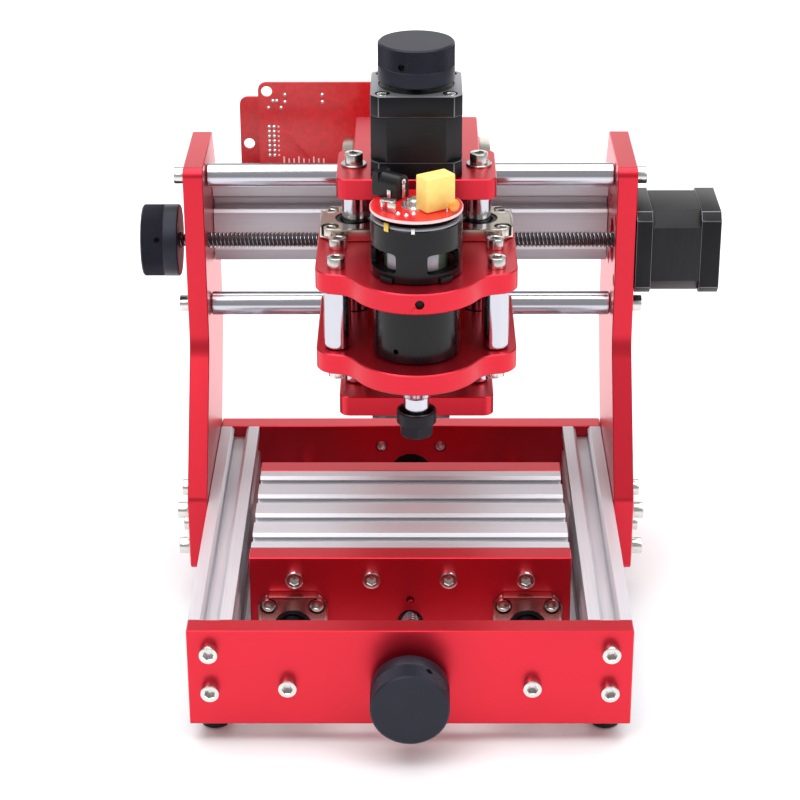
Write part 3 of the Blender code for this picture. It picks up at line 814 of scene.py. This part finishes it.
def make_gantry():
    for side, sign in (("left", -1), ("right", 1)):
        facing = "+X" if sign > 0 else "-X"
        for y in (136, 161, 197):
            for z in (28.75, 48.75):
                cap_screw(f"{side}_rail_screw_{y}_{int(z)}", "M5", sign * SIDE_OUT, y, z, facing,
                          "frame", washer=6.0, turn=y * 0.3)
        for z in (139.5, 207.5):
            cap_screw(f"{side}_rod_screw_{int(z)}", "M5", sign * SIDE_OUT, 187, z, facing,
                      "frame", washer=6.0, turn=z)
        for z in (162.5, 182.5):
            cap_screw(f"{side}_profile_screw_{int(z)}", "M5", sign * SIDE_OUT, 223.5, z, facing,
                      "frame", turn=z)
    for number, (y, z) in enumerate(rectangle(15.5, 15.5, 187, 173.5)):
        cap_screw(f"x_motor_mount_{number}", "M3", 104.2, y, z, "-X", "frame", turn=number)
    for node, facing in (("x_motor", "+X"), ("y_motor", "+Y")):
        motor(node, facing)


# ---- circuit boards -------------------------------------------------------------------------

def on_board(name, bm, look, x, y, z, facing="-Y", body="frame", slot="board_red"):
    return piece(name, bm, look, body, slot, spot(x, y, z), ALONG[facing])


def joint_mesh():
    """A soldered lead: a cone of solder with the wire's end through it."""
    return turned_mesh([(0, 0), (0.95, 0), (0.5, 0.5), (0.32, 0.7), (0.3, 1.5), (0, 1.6)], 14)


def make_boards():
    for node in ("controller_board", "driver_board"):
        refined(node, "board_red")
    face = machine(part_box("controller_board")[0])
    front, left, top = face.y, face.x, machine(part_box("controller_board")[1]).z
    joint = shared("solder_joint", joint_mesh, "solder")
    number = 0
    for column in range(2):
        for row in range(7):
            number += 1
            put(f"header_pin_{number}", joint, None, "frame",
                spot(left + 5.2 + column * 2.54, front, top - 23.6 - row * 2.54), ALONG["-Y"])
    for x, z in ((5.2, 13.4), (11.6, 13.4), (7.4, 9.8), (9.4, 9.8)):
        number += 1
        put(f"lead_{number}", joint, None, "frame",
            spot(left + x, front, top - z), ALONG["-Y"])
    for x in (13.6, 32.6):
        for drop in (6.6, 10.4):
            number += 1
            put(f"lead_{number}", joint, None, "frame",
                spot(left + x, front, top - drop), ALONG["-Y"])
    for row in range(7):
        mark = box_mesh(0.9, 0.9, 0.0, 0.05)
        on_board(f"pin_mark_{row}", mark, "silk_white", left + 10.0, front - 0.02,
                 top - 23.4 - row * 2.54)
    for index in range(9):
        mark = box_mesh(0.7, 3.0 + 2.0 * (index % 3 == 0), 0.0, 0.05)
        on_board(f"row_mark_{index}", mark, "silk_white", left + 12.5 + index * 2.54,
                 front - 0.02, top - 42.0)
    for index in range(4):
        track = bpy.data.curves.new(f"track_{index}", "CURVE")
        track.dimensions = "3D"
        track.bevel_depth = 0.16 * MM
        spline = track.splines.new("POLY")
        shift = index * 2.0
        points = [(11.0 + shift * 0.2, 27 + shift), (14.0 + shift * 0.2, 27 + shift),
                  (24.0 + shift * 0.5, 38 + shift * 0.6), (24.0 + shift * 0.5, 44)]
        spline.points.add(len(points) - 1)
        for point, (x, drop) in zip(spline.points, points):
            point.co = (*spot(left + x, front - 0.04, top - drop), 1)
        made = bpy.data.objects.new(f"track_{index}", track)
        track.materials.append(LOOKS["board_red"].made)
        bpy.context.scene.collection.objects.link(made)
        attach(made, "frame")
    back = machine(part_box("driver_board")[1]).y
    rng = random.Random(7)
    for index in range(3):
        x = left + 14 + index * 26
        chip = bevelled(box_mesh(15.2, 15.2, 0, 5.2), 0.5)
        on_board(f"driver_module_{index}", chip, "black_plastic", x, back, top - 28, "+Y",
                 slot="nut_plastic")
        fins = [box_mesh(1.0, 9, 5.0, 10.5, -4 + 2.0 * fin) for fin in range(5)]
        on_board(f"heat_sink_{index}", merged(box_mesh(9, 9, 4.9, 6.2), *fins),
                 "extrusion_x", x, back, top - 28, "+Y", slot="bare_aluminium")
    for index in range(10):
        block = bevelled(box_mesh(2.2, 6.0, 0, 8.5), 0.2)
        on_board(f"header_{index}", block, "black_plastic", left - 2 + index * 2.6, back,
                 top - 50, "+Y", slot="nut_plastic")
    for index in range(8):
        tall = rng.uniform(0.8, 1.6)
        part = bevelled(box_mesh(3.4, 1.8, 0, tall), 0.15)
        on_board(f"part_{index}", part, "black_plastic", left + rng.uniform(0, 80), back,
                 top - rng.uniform(12, 18), "+Y", slot="nut_plastic")
    rear = machine(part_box("driver_board")[0]).y
    profile_back = machine(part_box("cross_profile")[1]).y
    gap = front - profile_back
    for index, x in enumerate((left + 12, left + 88)):
        hexagon = [(2.9 * math.cos(t * math.pi / 3), 2.9 * math.sin(t * math.pi / 3))
                   for t in range(6)]
        pillar = bevelled(prism_mesh(hexagon, 0.1, gap - 0.1), 0.25)
        on_board(f"board_standoff_{index}", pillar, "brass", x, profile_back, 182.5, "+Y",
                 slot="collet_steel")
    between = rear - front - 1.6
    strip = bevelled(box_mesh(5.0, 17.8, 0.05, between - 0.05), 0.2)
    on_board("board_header", strip, "black_plastic", left + 6.5, front + 1.6,
             top - 31.2, "+Y", slot="nut_plastic")


# ---- table ----------------------------------------------------------------------------------

def make_table():
    refined("table", "extrusion_x", 0.25)
    front = machine(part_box("front_carrier")[0]).y
    refined("rear_carrier", "anodised_red")
    refined("front_carrier", "anodised_red", tools=[well(1.9, 6, 0, front, 42.6, "-Y")])
    front = machine(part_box("front_carrier")[0]).y
    rear = machine(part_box("rear_carrier")[1]).y
    for end, (y, facing) in enumerate(((front, "-Y"), (rear, "+Y"))):
        for x in (-54, -18, 18, 54):
            cap_screw(f"carrier_screw_{end}_{x}", "M5", x, y, 55.5, facing, "table_slide",
                      turn=x * 0.7)
    for end, facing in (("front", "-Y"), ("rear", "+Y")):
        for side in ("left", "right"):
            bearing(f"y_bearing_{end}_{side}", facing)
    refined("y_nut", "black_plastic", 0.2)


# ---- carriage -------------------------------------------------------------------------------

def make_carriage():
    for node in ("z_top_plate", "z_bottom_plate"):
        refined(node, "anodised_red")
    for node in ("left_cheek", "right_cheek"):
        refined(node, "anodised_red", 0.3)
    for side, facing in (("left", "-X"), ("right", "+X")):
        for level in ("lower", "upper"):
            bearing(f"x_bearing_{level}_{side}", facing)
        bar(f"z_rod_{side}", "polished_rod", "Z", 6.0)
    refined("x_nut", "black_plastic", 0.2)
    top = machine(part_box("z_top_plate")[1]).z
    bottom = machine(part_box("z_bottom_plate")[0]).z
    for sign in (-1, 1):
        x = CAR_X + sign * 29.3
        cap_screw(f"top_ear_screw_{sign + 1}", "M5", x, Z_AXIS.y, top, "+Z", "carriage",
                  washer=6.0, turn=sign)
        cap_screw(f"bottom_ear_screw_{sign + 1}", "M5", x, Z_AXIS.y, bottom, "-Z", "carriage",
                  turn=sign)
        for y in (175, 203):
            cap_screw(f"cheek_screw_{sign + 1}_{y}", "M4", CAR_X + sign * 25, y, bottom, "-Z",
                      "carriage", turn=y)
    lighter_back_face(motor("z_motor", "+Z", shaft_hole=True))


# ---- spindle slide --------------------------------------------------------------------------

CAN_R, CAN_TOP_R = 20.0, 21.0


def sector(inner, outer, middle, half, steps=10):
    """A flat piece of a ring, angles in degrees."""
    angles = [math.radians(middle - half + 2 * half * step / steps) for step in range(steps + 1)]
    far = [(outer * math.cos(a), outer * math.sin(a)) for a in angles]
    near = [(inner * math.cos(a), inner * math.sin(a)) for a in reversed(angles)]
    return far + near


def rounded_window(middle, low, high, half):
    """A cutter for a vent window with rounded corners, drawn round the can's axis."""
    steps, squareness = 14, 2 / 7
    bm = bmesh.new()
    rings = []
    for radius in (16.5, 24):
        ring = []
        for index in range(4 * steps):
            turn = math.tau * (index + 0.5) / (4 * steps)
            u = math.copysign(abs(math.cos(turn)) ** squareness, math.cos(turn))
            v = math.copysign(abs(math.sin(turn)) ** squareness, math.sin(turn))
            angle = math.radians(middle + half * u)
            z = (low + high) / 2 + (high - low) / 2 * v
            ring.append(bm.verts.new((radius * MM * math.cos(angle),
                                      radius * MM * math.sin(angle), z * MM)))
        rings.append(ring)
    count = len(rings[0])
    for index in range(count):
        after = (index + 1) % count
        bm.faces.new([rings[0][index], rings[0][after], rings[1][after], rings[1][index]])
    bm.faces.new(rings[0])
    bm.faces.new(rings[1])
    return bm


WINDOW_MIDDLES = (-51.5, -141.5, 128.5, 38.5)     # degrees from +X


def make_can():
    low = machine(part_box("spindle_can")[0]).z
    shoulder, top = 196.9, 222.4
    wall = [(7.4, low), (CAN_R - 0.6, low), (CAN_R, low + 0.6), (CAN_R, shoulder),
            (CAN_TOP_R - 0.3, shoulder), (CAN_TOP_R, shoulder + 0.3), (CAN_TOP_R, top - 0.5),
            (CAN_TOP_R - 0.3, top), (18.9, top), (18.9, low + 1.6), (7.4, low + 1.6)]
    windows = [rounded_window(middle, 201.2, 210.8, 25.5)
               for middle in WINDOW_MIDDLES]
    spots = [moved_mesh(turned_mesh([(0, 0), (1.3, 0), (1.3, 8), (0, 8)], 20),
                        14 * math.cos(a), 14 * math.sin(a), 163.0,
                        Matrix.Rotation(a, 3, "Z") @ ALONG["+X"])
             for a in (math.radians(-118), math.radians(62))]
    shell = carved(turned_mesh(wall, 96), windows + spots)
    axis = spot(SPINDLE.x, SPINDLE.y, 0)
    place = dict(body="spindle_slide", at=axis)
    can = piece("spindle_can_shell", shell, "spindle_black", slot="spindle_black", **place)
    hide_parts("spindle_can")
    core = [(0, low + 20), (14.2, low + 20), (14.6, low + 21), (14.6, 213), (0, 213)]
    piece("spindle_armature", turned_mesh(core, 48), "windings", slot="motor_black", **place)
    lining = [(15.2, 199), (18.7, 199), (18.7, 200.6), (15.2, 200.6)]
    piece("spindle_lining", turned_mesh(lining, 64), "black_plastic", slot="nut_plastic", **place)
    for index, middle in enumerate(WINDOW_MIDDLES):
        bracket = prism_mesh(sector(16.6, 18.2, middle + (14 if index % 2 else -14), 9), 202, 212)
        piece(f"brush_holder_{index}", bevelled(bracket, 0.3), "motor_face", slot="motor_black",
              **place)
    cap = [(4.9, 219), (18.8, 219), (18.8, 222.9), (4.9, 222.9)]
    piece("spindle_end_cap", turned_mesh(cap, 64), "black_plastic", slot="nut_plastic", **place)
    ring = [(18.9, 222.45), (20.7, 222.45), (20.7, 223.2), (20.2, 223.4), (18.9, 223.4)]
    piece("spindle_rim", turned_mesh(ring, 96), "motor_face", slot="collet_steel", **place)
    for index, angle in enumerate((-128, -52)):
        tab = prism_mesh(sector(20.0, 22.6, angle, 8.5, 6), 196.75, 199.4)
        piece(f"can_tab_{index}", bevelled(tab, 0.2), "black_plastic", slot="nut_plastic",
              **place)
    boss = [(0, 219.5), (4.7, 219.5), (4.7, 229.4), (4.2, 230.4), (2.7, 230.9), (2.7, 229.6),
            (0, 229.6)]
    piece("rear_bearing_boss", turned_mesh(boss, 48), "solder", slot="collet_steel", **place)
    for index in range(2):
        angle = math.radians(-129 + 35 * index)
        tag = bevelled(box_mesh(2.6 - index, 0.5, 221.0 + 0.4 * index, 225.0 - index), 0.12)
        turn = Matrix.Rotation(angle + math.pi / 2, 3, "Z")
        tag = moved_mesh(tag, 21.25 * math.cos(angle), 21.25 * math.sin(angle), 0, turn)
        piece(f"case_tag_{index}", tag, "brass" if index == 0 else "solder",
              slot="collet_steel", **place)


def make_spindle_board():
    """The round board with its socket, capacitors and soldered leads."""
    body = "spindle_slide"
    low, high = (machine(corner).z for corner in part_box("spindle_board"))
    axis = spot(SPINDLE.x, SPINDLE.y, 0)
    place = dict(body=body, at=axis)
    edge = 21.1
    core = [(5.3, low), (edge - 0.1, low), (edge, low + 0.1), (edge, high - 0.25),
            (5.3, high - 0.25)]
    made = piece("spindle_board_laminate", turned_mesh(core, 96), "board_rim",
                 slot="board_red", **place)
    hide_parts("spindle_board")
    mask = [(5.3, high - 0.24), (edge - 0.15, high - 0.24), (edge - 0.35, high), (5.3, high)]
    piece("spindle_board_mask", turned_mesh(mask, 96), "board_red", slot="board_red", **place)
    rim = [(4.9, high + 0.02), (7.0, high + 0.02), (6.9, high + 0.3), (5.6, high + 0.5),
           (4.9, high + 0.5)]
    piece("board_ground_ring", turned_mesh(rim, 48), "solder", slot="collet_steel", **place)

    yellow = bevelled(box_mesh(15.4, 9.2, high + 0.1, high + 16.2), 0.8, 3)
    turn = Matrix.Rotation(math.radians(33), 3, "Z")
    piece("filter_capacitor", moved_mesh(yellow, 8.6, -4.2, 0, turn), "capacitor_yellow",
          slot="bare_aluminium", **place)
    disc = turned_mesh([(0, 0.15), (1.6, 0.2), (2.6, 0.8), (2.9, 1.5), (2.6, 2.2), (1.6, 2.8),
                        (0, 2.85)], 32)
    lay = Matrix.Rotation(math.radians(35), 3, "Z") @ Matrix.Rotation(math.pi / 2, 3, "X")
    piece("disc_capacitor", moved_mesh(disc, 16.0, -9.4, high + 3.6, lay), "capacitor_orange",
          slot="bare_aluminium", **place)
    for index in range(2):
        leg = turned_mesh([(0, 0), (0.3, 0), (0.3, 2.6), (0, 2.6)], 10)
        piece(f"disc_lead_{index}", moved_mesh(leg, 13.6 + index * 2.6, -11.6 + index * 1.9,
                                              high), "solder", slot="collet_steel", **place)
    joint = shared("board_joint", lambda: turned_mesh(
        [(0, 0), (1.2, 0), (0.9, 0.5), (0.3, 1.0), (0, 1.1)], 16), "solder")
    for index, (x, y) in enumerate(((-4.5, -13.5), (-8.2, -11.2), (-1.2, -11.5), (-15.5, 4.0),
                                    (2.0, 12.5), (6.0, 13.5))):
        put(f"board_joint_{index}", joint, None, body,
            spot(SPINDLE.x + x, SPINDLE.y + y, high), None)
    clip = merged(bevelled(box_mesh(6.4, 4.2, high + 4.4, high + 5.0), 0.2),
                  bevelled(box_mesh(1.0, 3.6, high + 0.1, high + 4.5, -2.4), 0.2),
                  bevelled(box_mesh(1.0, 3.6, high + 0.1, high + 4.5, 2.4), 0.2))
    piece("terminal_clip", moved_mesh(clip, -12.6, -6.4, 0,
                                      Matrix.Rotation(math.radians(-24), 3, "Z")), "solder",
          slot="collet_steel", **place)
    blade = bevelled(box_mesh(4.0, 0.8, high + 0.1, high + 4.2), 0.15)
    piece("terminal_blade", moved_mesh(blade, -11.0, -9.6, 0,
                                       Matrix.Rotation(math.radians(-30), 3, "Z")), "solder",
          slot="collet_steel", **place)


def make_power_jack():
    refined("power_jack", "black_plastic", 0.25)
    low = machine(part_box("power_jack")[0])
    way = Matrix.Rotation(math.radians(143.5), 3, "Z")
    corner = Vector((SPINDLE.x - 6.2, SPINDLE.y + 8.3, low.z))
    tag = bevelled(box_mesh(0.5, 2.2, 0, 7.6), 0.12)
    ring = moved_mesh(turned_mesh([(0.5, 0), (1.4, 0), (1.4, 0.5), (0.5, 0.5)], 24), -0.25, 0,
                      7.8, ALONG["+X"])
    contacts = ((merged(tag, ring), -0.45, 0.0), (bevelled(box_mesh(0.5, 2.0, 0, 4.4), 0.12),
                                                 4.2, 4.75))
    for index, (mesh, along, across) in enumerate(contacts):
        offset = way @ Vector((along, across, 0))
        turn = way if index == 0 else way @ Matrix.Rotation(math.pi / 2, 3, "Z")
        piece(f"jack_contact_{index}", mesh, "solder", "spindle_slide", "collet_steel",
              spot(*(corner + offset)), turn)


def make_spindle_slide():
    for node in ("upper_clamp_plate", "lower_clamp_plate"):
        refined(node, "anodised_red")
    for row in ("front", "rear"):
        for side in ("left", "right"):
            bar(f"pillar_{row}_{side}", "polished_rod", "Z", 6.0)
    for side in ("left", "right"):
        bearing(f"z_bearing_{side}", "+Z")
    refined("z_nut", "black_plastic", 0.2)
    top = machine(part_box("upper_clamp_plate")[1]).z
    under = machine(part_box("lower_clamp_plate")[0]).z
    for row, y in (("front", 92.5), ("rear", 116.4)):
        for sign in (-1, 1):
            x = CAR_X + sign * 36.7
            cap_screw(f"pillar_top_screw_{row}_{sign + 1}", "M5", x, y, top, "+Z",
                      "spindle_slide", turn=y + sign)
            cap_screw(f"pillar_under_screw_{row}_{sign + 1}", "M5", x, y, under, "-Z",
                      "spindle_slide", turn=y - sign)
    # a black disc set inside the clamp plate's set-screw hole: painted shade for the hole's depth
    hole_shade_disc = bevelled(turned_mesh([(0, 0), (1.9, 0), (1.9, 1.6), (0, 1.6)], 24), 0.1)
    front = machine(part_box("upper_clamp_plate")[0]).y
    piece("clamp_hole_shade", hole_shade_disc, "hole_black", "spindle_slide", "collet_steel",
          spot(CAR_X + 1.4, front + 3.2, top - 4.95), ALONG["-Y"])
    make_can()
    make_spindle_board()
    make_power_jack()


# ---- turning pieces -------------------------------------------------------------------------

def make_screws():
    lead_screw("x_lead_screw", "X", (14, 20))
    lead_screw("y_lead_screw", "Y", (14, 20))
    low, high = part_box("z_lead_screw")
    at = Vector((centre("z_lead_screw").x, centre("z_lead_screw").y, low.z))
    length = (high - low).z / MM
    neck = 152.0
    bm = merged(thread_mesh(neck - 0.02, 3.95, 3.05, 2.0, 2, (2, 34)),
                turned_mesh([(0, neck), (2.5, neck), (2.5, length - 0.4), (2.1, length),
                             (0, length)], 40))
    made = piece("z_lead_screw_threaded", bm, ["lead_screw", "thread_root_shade"], "z_screw",
                 "lead_screw", at)
    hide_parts("z_lead_screw")
    knob("z_knob", "+Z", math.radians(-23))
    knob("y_knob", "-Y", math.radians(150))
    knob("x_knob", "-X", math.radians(20))


def make_spindle():
    axis = spot(SPINDLE.x, SPINDLE.y, 0)
    place = dict(body="spindle", at=axis)
    shaft = [(0, 175), (6.5, 175), (7, 174.5), (7, 134.4), (6.75, 133.6), (6, 133.0), (6, 118.9),
             (5.6, 118.4), (3.5, 118.4), (3.5, 131), (0, 131)]
    made = piece("spindle_shaft_turned", turned_mesh(shaft, FINE), "polished_rod",
                 slot="polished_rod", **place)
    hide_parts("spindle_shaft")
    corner = NUT_ACROSS / math.sqrt(3)
    hexagon = [(corner * math.cos((t + 0.5) * math.pi / 3 + math.radians(3)),
                corner * math.sin((t + 0.5) * math.pi / 3 + math.radians(3)))
               for t in range(6)]
    body = turned_mesh([(4.5, 113.6), (7.2, 113.6), (8.5, 115.0), (8.5, 119.4), (9.35, 120.3),
                        (9.35, 125.7), (8.9, 126.2), (8.2, 126.2), (7.2, 124.6), (6.4, 123.4),
                        (6.4, 117.8), (4.5, 117.8)], FINE)
    ring = carved(turned_mesh([(0, 112), (14, 112), (14, 119.2), (8.6, 119.8), (0, 119.8)], 48),
                  [prism_mesh(hexagon, 111, 122)])
    nut = carved(body, [ring])
    made = piece("collet_nut_finished", nut, "black_oxide", slot="spindle_black", **place)
    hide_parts("collet_nut")
    lip = [(7.95, 126.15), (8.9, 126.22), (8.85, 126.3), (8.0, 126.3)]
    piece("collet_nut_lip", turned_mesh(lip, FINE), "motor_edge", slot="collet_steel", **place)
    low = machine(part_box("collet")[0]).z
    sleeve = [(1.6, low), (4.0, low), (4.2, low + 0.3), (4.2, 117.8), (3.2, 118.6), (3.2, 129),
              (1.6, 129)]
    cuts = [prism_mesh(rectangle(6, 0.2), low - 1, 116), prism_mesh(rectangle(0.2, 6), low - 1,
                                                                     116)]
    made = piece("collet_slotted", carved(turned_mesh(sleeve, 48), cuts), "collet_steel",
                 slot="collet_steel", **place)
    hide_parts("collet")


# ---- stage ----------------------------------------------------------------------------------

def make_camera():
    """0.59 m up and 0.9 m in front of the front plate, looking down at the table."""
    pitch, yaw, roll = (math.radians(angle) for angle in (24.90, -0.46, -0.22))
    ahead = Vector((math.sin(yaw) * math.cos(pitch), math.cos(yaw) * math.cos(pitch),
                    -math.sin(pitch)))
    right = Vector((math.cos(yaw), -math.sin(yaw), 0))
    up = right.cross(ahead)
    side = right * math.cos(roll) + up * math.sin(roll)
    top = up * math.cos(roll) - right * math.sin(roll)
    lens = bpy.data.cameras.new("camera")
    lens.sensor_width = 36
    lens.lens = 104.5
    lens.clip_end = 50
    camera = bpy.data.objects.new("camera", lens)
    turn = Matrix((side, top, -ahead)).transposed().to_4x4()
    camera.matrix_world = Matrix.Translation(spot(3.2, -895.1, 587.8)) @ turn
    bpy.context.scene.collection.objects.link(camera)
    bpy.context.scene.camera = camera
    bpy.context.scene.view_settings.view_transform = "Standard"


def area_light(name, place, target, width, height, watts, tint=(1, 1, 1)):
    lamp = bpy.data.lights.new(name, "AREA")
    lamp.shape = "RECTANGLE"
    lamp.size, lamp.size_y = width, height
    lamp.energy = watts
    lamp.color = tint
    made = bpy.data.objects.new(name, lamp)
    made.location = place
    made.rotation_euler = (Vector(target) - Vector(place)).to_track_quat("-Z", "Y").to_euler()
    bpy.context.scene.collection.objects.link(made)


def make_stage():
    floor_mesh = bpy.data.meshes.new("floor")
    half = 30.0
    floor_mesh.from_pydata([(-half, -half, 0), (half, -half, 0), (half, half, 0),
                            (-half, half, 0)], [], [(0, 1, 2, 3)])
    floor = bpy.data.objects.new("floor", floor_mesh)
    floor_mesh.materials.append(LOOKS["floor"].made)
    bpy.context.scene.collection.objects.link(floor)
    world = bpy.data.worlds.new("studio")
    world.use_nodes = True
    world.node_tree.nodes["Background"].inputs["Color"].default_value = (1, 1, 1, 1)
    world.node_tree.nodes["Background"].inputs["Strength"].default_value = 0.42
    bpy.context.scene.world = world
    area_light("top", (0.0, 0.35, 2.4), (0, 0.35, 0), 3.2, 3.2, 85)
    area_light("key", (-0.9, -1.1, 1.6), (0, 0, 0.1), 1.2, 1.2, 12)
    area_light("fill", (1.2, -0.7, 1.1), (0, 0, 0.1), 1.0, 1.0, 6)
    area_light("back", (0.0, 1.4, 0.37), (0, 0, 0.3), 2.8, 0.6, 6)


LOOKS = make_looks()
make_camera()
make_stage()
make_base()
make_gantry()
make_boards()
make_table()
make_carriage()
make_spindle_slide()
make_screws()
make_spindle()
